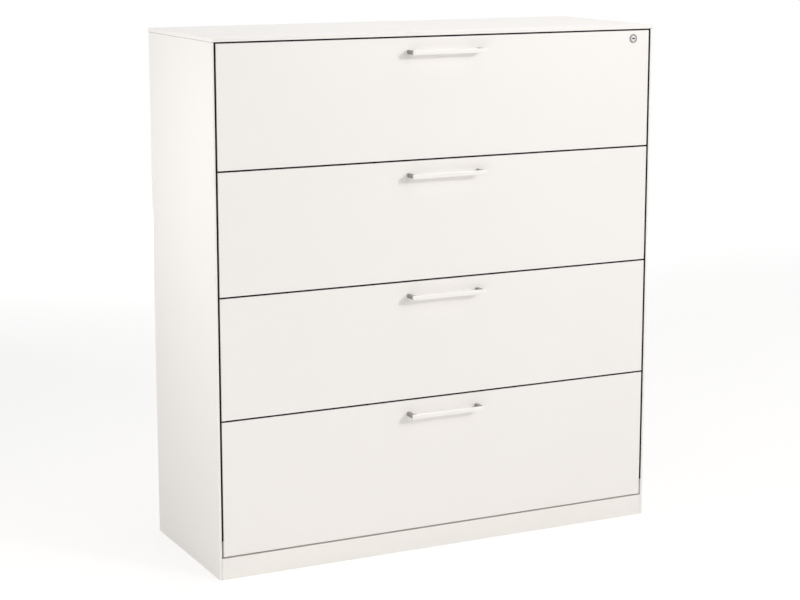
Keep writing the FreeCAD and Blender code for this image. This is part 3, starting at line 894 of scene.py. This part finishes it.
@dataclass
class DrawerFittings:
    """What holds one drawer together: corner brackets, screws, rivets, caps and floor ribs."""

    number: int
    made: dict[Slot, Material]
    plastic: Material
    wall_sheet: float = 1.0 * MM
    slide_sheet: float = 1.2 * MM
    bracket_length: float = 24.0 * MM
    bracket_height: float = 44.0 * MM
    bracket_sheet: float = 1.5 * MM
    # The upper one stays below the notch that the walls have for the lock.
    bracket_rise: tuple[float, float] = (34.0 * MM, 130.0 * MM)
    bracket_rounding: float = 4.0 * MM
    bracket_screw_shares: tuple[float, float] = (0.25, 0.75)
    bracket_screw_reach: float = 14.4 * MM
    rivet_rows: tuple[float, float, float] = (60.0 * MM, 190.0 * MM, 330.0 * MM)
    screw_rows: tuple[float, float, float] = (32.0 * MM, 160.0 * MM, 288.0 * MM)
    cap_radius: float = 6.5 * MM
    cap_sides: int = 28
    cap_height: float = 1.4 * MM
    cap_rounding: float = 0.7 * MM
    cap_margin: float = 1.95 * MM
    cap_dish: tuple[float, float] = (0.26 * MM, 0.28 * MM)
    # How far the handle's screws stand in from the ends of its legs.
    leg_screw_inset: float = 5.0 * MM
    rib_width: float = 14.0 * MM
    rib_height: float = 1.4 * MM
    rib_margin: float = 40.0 * MM
    rib_top_inset: float = 3.08 * MM
    rib_rounding: float = 1.12 * MM
    # A full half circle would leave the end faces without width.
    rib_end_share: float = 0.98
    # Where the ribs lie, as shares of the floor's width from its middle.
    rib_shares: tuple[float, ...] = (-0.46, -0.35, -0.24, -0.055, 0.055, 0.24, 0.35, 0.46)

    def fit(self, name: str, parts: list[Piece], slot: Slot | None = None) -> None:
        """Join parts into one piece of this drawer.

        Args:
            name: The piece's name, without the drawer's number.
            parts: The parts, all of one finish.
            slot: The record's slot for it. The caps' plastic has none.
        """
        material = self.plastic if slot is None else self.made[slot]
        fit_piece(join(f"{name}_{self.number}", parts), material, f"drawer_{self.number}")

    def inside(self) -> tuple[Vector, Vector]:
        """Find the box's clear inside, behind the front and between the walls.

        Returns:
            Its lowest and highest corners.
        """
        tray_low, tray_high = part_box(f"drawer_tray_{self.number}")
        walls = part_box(f"drawer_sides_{self.number}")
        wall_x = -walls[0].x - self.wall_sheet
        low = Vector((-wall_x, tray_low.y, tray_low.z + self.wall_sheet))
        return low, Vector((wall_x, tray_high.y - self.wall_sheet, walls[1].z))

    def slide_height(self) -> float:
        """Height of the middle of this drawer's slides."""
        low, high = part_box(f"slide_inner_{self.number}")
        return (low.z + high.z) / 2

    def bracket(self, corner: Vector, side: Side) -> Piece:
        """Model an angle bracket in the corner between the front and a wall.

        Args:
            corner: The corner that it fills, at the bracket's lower edge.
            side: The side of the drawer.

        Returns:
            The bracket.
        """
        sign = side.value
        near_x = corner.x - sign * self.bracket_length
        far_y = corner.y + self.bracket_length
        span = sorted((near_x, corner.x))
        low = Vector((span[0], corner.y, corner.z))
        high = Vector((span[1], corner.y + self.bracket_sheet, corner.z + self.bracket_height))
        with editing(block("bracket", low, high)) as piece:
            pick(piece, Pick.EDGES, runs_along(0))
            bpy.ops.mesh.subdivide(number_cuts=1)
            split = corner.x - sign * self.bracket_sheet
            pick(piece, Pick.POINTS, lambda v: low.x + CLOSE < v.co.x < high.x - CLOSE)
            shift = split - (low.x + high.x) / 2
            bpy.ops.transform.translate(value=(shift, 0.0, 0.0))
            pick(piece, Pick.FACES, lambda face: face.normal.y > ALIGNED and (
                sign * (face.calc_center_median().x - split) > 0
            ))
            push_out(Vector((0.0, self.bracket_length - self.bracket_sheet, 0.0)))
            pick(piece, Pick.EDGES, lambda edge: not runs_along(2)(edge) and (
                self.is_free_corner(edge, near_x, far_y)
            ))
            bpy.ops.mesh.bevel(offset=self.bracket_rounding, segments=4)
        return piece

    def is_free_corner(self, edge: Any, near_x: float, far_y: float) -> bool:
        """Find the short edges through the sheet at the free ends of the two legs.

        Args:
            edge: The edge to test.
            near_x: Where the leg on the front ends.
            far_y: Where the leg on the wall ends.

        Returns:
            True for such an edge.
        """
        ends = [vertex.co for vertex in edge.verts]
        on_front_leg = all(abs(end.x - near_x) < CLOSE for end in ends)
        on_wall_leg = all(abs(end.y - far_y) < CLOSE for end in ends)
        return on_front_leg or on_wall_leg

    def build_brackets(self) -> None:
        """Set two brackets in each front corner, each held by four screws."""
        low, high = self.inside()
        sheet, reach = self.bracket_sheet, self.bracket_screw_reach
        parts: list[Piece] = []
        places: list[Matrix] = []
        for side in Side:
            edge_x = high.x * side.value
            for rise in self.bracket_rise:
                base = low.z + rise
                parts.append(self.bracket(Vector((edge_x, low.y, base)), side))
                for share in self.bracket_screw_shares:
                    z = base + self.bracket_height * share
                    on_front = Vector((edge_x - side.value * reach, low.y + sheet, z))
                    on_wall = Vector((edge_x - side.value * sheet, low.y + reach, z))
                    places.append(Matrix.Translation(on_front) @ TOWARDS_REAR)
                    places.append(Matrix.Translation(on_wall) @ sideways(-side.value))
        self.fit("corner_brackets", parts, Slot.ZINC)
        self.fit("bracket_screws", copies_of(Fasteners().screw(), places), Slot.ZINC)

    def build_rivets(self) -> None:
        """Set the rivets that hold the slides, seen as heads on the inside of the walls."""
        low, high = self.inside()
        z = self.slide_height()
        places = [
            Matrix.Translation((high.x * side.value, low.y + row, z)) @ sideways(-side.value)
            for side in Side for row in self.rivet_rows
        ]
        self.fit("slide_rivets", copies_of(Fasteners().rivet(), places), Slot.ZINC)

    def build_slide_screws(self) -> None:
        """Set the screws of the drawer's own slide profiles, seen when it is open."""
        low = self.inside()[0]
        web_x = -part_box(f"drawer_sides_{self.number}")[0].x + self.slide_sheet
        z = self.slide_height()
        places = [
            Matrix.Translation((web_x * side.value, low.y + row, z)) @ sideways(side.value)
            for side in Side for row in self.screw_rows
        ]
        self.fit("slide_screws", copies_of(Fasteners().screw(), places), Slot.ZINC)

    def build_caps(self) -> None:
        """Cap the two holes in the inner pan behind the handle's screws."""
        low = self.inside()[0]
        leg_low, leg_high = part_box(f"handle_legs_{self.number}")
        z = (leg_low.z + leg_high.z) / 2
        blank = round_blank("cap", self.cap_radius, self.cap_height, self.cap_sides)
        with editing(blank) as pattern:
            pick(pattern, Pick.EDGES, lies_at(self.cap_height))
            bpy.ops.mesh.bevel(offset=self.cap_rounding, segments=3)
            pick(pattern, Pick.FACES, faces_towards((0, 0, 1)))
            bpy.ops.mesh.inset(thickness=self.cap_margin, depth=0.0)
            bpy.ops.mesh.inset(thickness=self.cap_dish[0], depth=-self.cap_dish[1])
        screw_x = leg_high.x - self.leg_screw_inset
        places = [
            Matrix.Translation((side.value * screw_x, low.y, z)) @ TOWARDS_REAR for side in Side
        ]
        self.fit("screw_caps", copies_of(pattern, places))

    def build_ribs(self) -> None:
        """Press long ribs into the floor of the box, which stiffen it."""
        low, high = self.inside()
        half = self.rib_width / 2
        start = Vector((-half, low.y + self.rib_margin, low.z))
        end = Vector((half, high.y - self.rib_margin, low.z + self.rib_height))
        with editing(block("rib", start, end)) as pattern:
            pick(pattern, Pick.EDGES, runs_along(2))
            bpy.ops.mesh.bevel(offset=half * self.rib_end_share, segments=6)
            pick(pattern, Pick.FACES, faces_towards((0, 0, 1)))
            bpy.ops.mesh.inset(thickness=self.rib_top_inset, depth=0.0)
            # Only the top's outer rim, which has a wall on one side, is rounded.
            at_top = lies_at(end.z)
            pick(pattern, Pick.EDGES, lambda edge: at_top(edge) and any(
                face.normal.z < ALIGNED for face in edge.link_faces
            ))
            bpy.ops.mesh.bevel(offset=self.rib_rounding, segments=3)
        width = high.x - low.x
        places = [Matrix.Translation((share * width, 0.0, 0.0)) for share in self.rib_shares]
        self.fit("floor_ribs", copies_of(pattern, places), Slot.INTERIOR)

    def build(self) -> None:
        """Fit everything to this drawer."""
        self.build_brackets()
        self.build_rivets()
        self.build_slide_screws()
        self.build_caps()
        self.build_ribs()


@dataclass
class BackRivets:
    """Rivets that hold the back panel to the side panels and the inner floor."""

    edge_inset: float = 9.0 * MM
    end_inset: float = 45.0 * MM
    column_count: int = 9
    row_count: int = 9

    def build(self, paint: Material) -> None:
        """Set a column of rivets down each side, and a row along the bottom.

        Args:
            paint: The finish of their heads.
        """
        low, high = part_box("back_panel")
        floor_low, floor_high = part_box("bottom_pan")
        rear = Vector((0.0, high.y, 0.0))
        reach = high.x - self.edge_inset
        rise = (high.z - low.z - 2 * self.end_inset) / (self.column_count - 1)
        spots = [
            Vector((side.value * reach, 0.0, low.z + self.end_inset + rise * step))
            for side in Side for step in range(self.column_count)
        ]
        run = 2 * (reach - self.end_inset) / (self.row_count - 1)
        row_z = (floor_low.z + floor_high.z) / 2
        spots += [
            Vector((-reach + self.end_inset + run * step, 0.0, row_z))
            for step in range(self.row_count)
        ]
        places = [Matrix.Translation(rear + spot) @ TOWARDS_REAR for spot in spots]
        rivets = join("back_rivets", copies_of(Fasteners().rivet(), places))
        fit_piece(rivets, paint, "cabinet")


@dataclass
class BallCages:
    """Balls and the steel strips that space them, in the races of one drawer's slides."""

    number: int
    ball_radius: float = 1.2 * MM
    ball_count: int = 9
    pitch: float = 13.0 * MM
    strip_sheet: float = 0.5 * MM
    strip_width: float = 5.0 * MM
    strip_rounding: float = 1.5 * MM
    race_heights: tuple[float, float] = (20.0 * MM, 16.2 * MM)
    channel_middle: float = 575.8 * MM
    end_gap: float = 8.0 * MM

    def pattern(self) -> Piece:
        """Model one strip with its balls, along +Y from the origin.

        Returns:
            The strip.
        """
        reach = Vector((self.strip_width, 0.0, self.strip_sheet)) / 2
        length = Vector((0.0, self.pitch * self.ball_count, 0.0))
        with editing(block("ball_strip", -reach, reach + length)) as strip:
            pick(strip, Pick.EDGES, runs_along(2))
            bpy.ops.mesh.bevel(offset=self.strip_rounding, segments=3)
        drop_selection()
        bpy.ops.mesh.primitive_uv_sphere_add(segments=10, ring_count=6, radius=self.ball_radius)
        places = [
            Matrix.Translation((0.0, (step + 0.5) * self.pitch, 0.0))
            for step in range(self.ball_count)
        ]
        balls = copies_of(new_piece("ball"), places)
        return join("ball_strip", [strip, *balls])

    def build(self, zinc: Material) -> None:
        """Lay a strip in each of the races, above and below, on both sides.

        Args:
            zinc: The finish of strips and balls.
        """
        low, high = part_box(f"slide_middle_{self.number}")
        middle_z = (low.z + high.z) / 2
        length = self.pitch * self.ball_count
        starts = (high.y - self.end_gap - length, low.y + self.end_gap)
        races = list(zip(self.race_heights, starts, strict=True))
        places = [
            Matrix.Translation((side.value * self.channel_middle, start, middle_z + up * height))
            for side in Side for up in (-1, 1) for height, start in races
        ]
        cages = join(f"ball_cages_{self.number}", copies_of(self.pattern(), places))
        fit_piece(cages, zinc, f"slide_{self.number}")


@dataclass(frozen=True)
class SoftBox:
    """One large soft lamp: a square face of light."""

    name: str
    place: tuple[float, float, float]
    aim: tuple[float, float, float]
    side: float
    watts: float

    def hang(self) -> None:
        """Hang the lamp, facing its aim."""
        lamp = bpy.data.lights.new(self.name, "AREA")
        lamp.shape = "SQUARE"
        lamp.size = self.side
        lamp.energy = self.watts
        holder = bpy.data.objects.new(self.name, lamp)
        bpy.context.scene.collection.objects.link(holder)
        holder.location = self.place
        direction = Vector(self.aim) - Vector(self.place)
        holder.rotation_euler = direction.to_track_quat("-Z", "Y").to_euler()


# The key lamp, far to the right of the camera, throws the handles' shadows down to the left.
# The near and knee lamps grade the fronts. The lamps at the sides and back stay below the
# top, so that it has no glare in a view from the other side. Each has its name, its place,
# what it aims at, the length of its side and its watts.
LAMPS = (
    SoftBox("top_lamp", (0.3, -0.3, 4.0), (0.0, 0.0, 1.3), 2.6, 47),
    SoftBox("left_lamp", (-1.9, -0.2, 1.1), (-0.6, -0.1, 1.1), 0.4, 10),
    SoftBox("key_lamp", (2.6, -4.8, 2.75), (0.0, -0.2, 0.8), 0.35, 65),
    SoftBox("near_lamp", (1.3, -2.4, 1.9), (0.4, -0.2, 0.9), 1.4, 16),
    SoftBox("knee_lamp", (-1.5, -2.2, 0.35), (-0.5, -0.2, 0.35), 0.8, 8),
    SoftBox("right_lamp", (3.4, 0.3, 0.65), (0.6, 0.0, 0.65), 1.2, 17),
    SoftBox("rear_lamp", (1.5, 5.4, 0.65), (0.0, 0.2, 0.65), 1.25, 100),
)


@dataclass(frozen=True)
class Studio:
    """Camera, lamps, floor and background."""

    camera_place: tuple[float, float, float] = (-2.201, -4.404, 1.584)
    camera_yaw_deg: float = 26.34
    camera_pitch_deg: float = -10.16
    lens_mm: float = 87.98
    shift_y: float = -0.05
    sensor_mm: float = 36.0
    clip_distances: tuple[float, float] = (0.05, 60.0)
    floor_side: float = 18.0
    white: str = "#FFFFFF"
    paper: str = "#E6E4E1"
    dim_paper: str = "#9D9B99"
    fill: str = "#F4F5F8"
    fill_strength: float = 0.41
    # Lamps light the floor less and less from the first distance to the second. The glow rises
    # by as much, so that the floor stays white, and is low enough to leave the shadow visible.
    glow_near: float = 0.69
    glow_far: float = 0.87
    glow_distances: tuple[float, float] = (2.0, 6.5)

    def place_camera(self) -> None:
        """Put the camera where the photograph was taken from."""
        camera = bpy.data.cameras.new("photo_camera")
        camera.sensor_width = self.sensor_mm
        camera.lens = self.lens_mm
        camera.shift_y = self.shift_y
        camera.clip_start, camera.clip_end = self.clip_distances
        holder = bpy.data.objects.new("photo_camera", camera)
        bpy.context.scene.collection.objects.link(holder)
        holder.location = self.camera_place
        holder.rotation_euler = (
            math.radians(90 + self.camera_pitch_deg), 0.0, math.radians(-self.camera_yaw_deg)
        )
        bpy.context.scene.camera = holder

    def lay_floor(self) -> None:
        """Lay the pale floor, which takes the cabinet's shadow and fades into the background."""
        drop_selection()
        bpy.ops.mesh.primitive_plane_add(size=self.floor_side)
        floor = bpy.context.object
        floor.name = "floor"
        floor.data.materials.append(self.floor_material())

    def seen_directly(self, tree: Tree) -> Socket:
        """Tell what the camera sees from what only lights the cabinet.

        Args:
            tree: The node tree that asks.

        Returns:
            One for what is seen, straight or in metal or glass, else zero.
        """
        path = add_node(tree, "LightPath")
        both = add_node(
            tree, "Math", settings={"operation": "ADD"},
            links={0: path.outputs["Is Camera Ray"], 1: path.outputs["Is Glossy Ray"]},
        )
        return add_node(
            tree, "Math", settings={"operation": "ADD", "use_clamp": True},
            links={0: both.outputs[0], 1: path.outputs["Is Transmission Ray"]},
        ).outputs[0]

    def floor_material(self) -> Material:
        """Make matt white paper: seen directly it glows to white, but for the shadow.

        Returns:
            The material.
        """
        material, tree, place = new_material("white_paper_floor")
        distance = add_node(
            tree, "VectorMath", settings={"operation": "LENGTH"}, links={0: place}
        )
        rise = add_node(
            tree, "MapRange", settings={"interpolation_type": "SMOOTHSTEP"},
            values={
                "From Min": self.glow_distances[0], "From Max": self.glow_distances[1],
                "To Min": self.glow_near, "To Max": self.glow_far,
            },
            links={"Value": distance.outputs["Value"]},
        )
        paper = add_node(tree, "BsdfDiffuse", values={"Color": linear(self.paper)})
        dim_paper = add_node(tree, "BsdfDiffuse", values={"Color": linear(self.dim_paper)})
        glow = add_node(
            tree, "Emission", values={"Color": linear(self.white)},
            links={"Strength": rise.outputs["Result"]},
        )
        lit = add_node(
            tree, "AddShader", links={0: dim_paper.outputs[0], 1: glow.outputs[0]}
        )
        mixed = add_node(
            tree, "MixShader",
            links={0: self.seen_directly(tree), 1: paper.outputs[0], 2: lit.outputs[0]},
        )
        add_node(tree, "OutputMaterial", links={"Surface": mixed.outputs[0]})
        return material

    def light_world(self) -> None:
        """Even light from all round, and a white background."""
        world = bpy.data.worlds.new("studio_world")
        bpy.context.scene.world = world
        world.use_nodes = True
        tree = world.node_tree
        tree.nodes.clear()
        fill = add_node(
            tree, "Background",
            values={"Color": linear(self.fill), "Strength": self.fill_strength},
        )
        white = add_node(
            tree, "Background", values={"Color": linear(self.white), "Strength": 1.0}
        )
        mixed = add_node(
            tree, "MixShader",
            links={0: self.seen_directly(tree), 1: fill.outputs[0], 2: white.outputs[0]},
        )
        add_node(tree, "OutputWorld", links={"Surface": mixed.outputs[0]})

    def build(self) -> None:
        """Set up everything that isn't the cabinet."""
        self.place_camera()
        self.lay_floor()
        self.light_world()
        for lamp in LAMPS:
            lamp.hang()
        bpy.context.scene.view_settings.view_transform = "Standard"


def main() -> None:
    """Build the cabinet's looks, sub-assembly by sub-assembly."""
    logging.basicConfig(level=logging.INFO, format="%(message)s")
    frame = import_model()
    made = {slot: finish.build() for slot, finish in FINISHES.items()}
    dress_nodes(frame, made)
    # Black strips in the drawer gaps and in the cover's seam: painted shade.
    GapShadeStrips(GAP_SHADE_BLACK.build()).build()
    # Near-black wafers in the key slot: painted shade.
    Keyway().build(KEYWAY_SHADE_BRASS.build())
    LockNut().build(made[Slot.ZINC])
    BackRivets().build(made[Slot.SHELL])
    plastic = PLASTIC.build()
    for number in range(1, DRAWER_COUNT + 1):
        DrawerFittings(number, made, plastic).build()
        BallCages(number).build(made[Slot.ZINC])
    Studio().build()


if __name__ == "__main__":
    main()
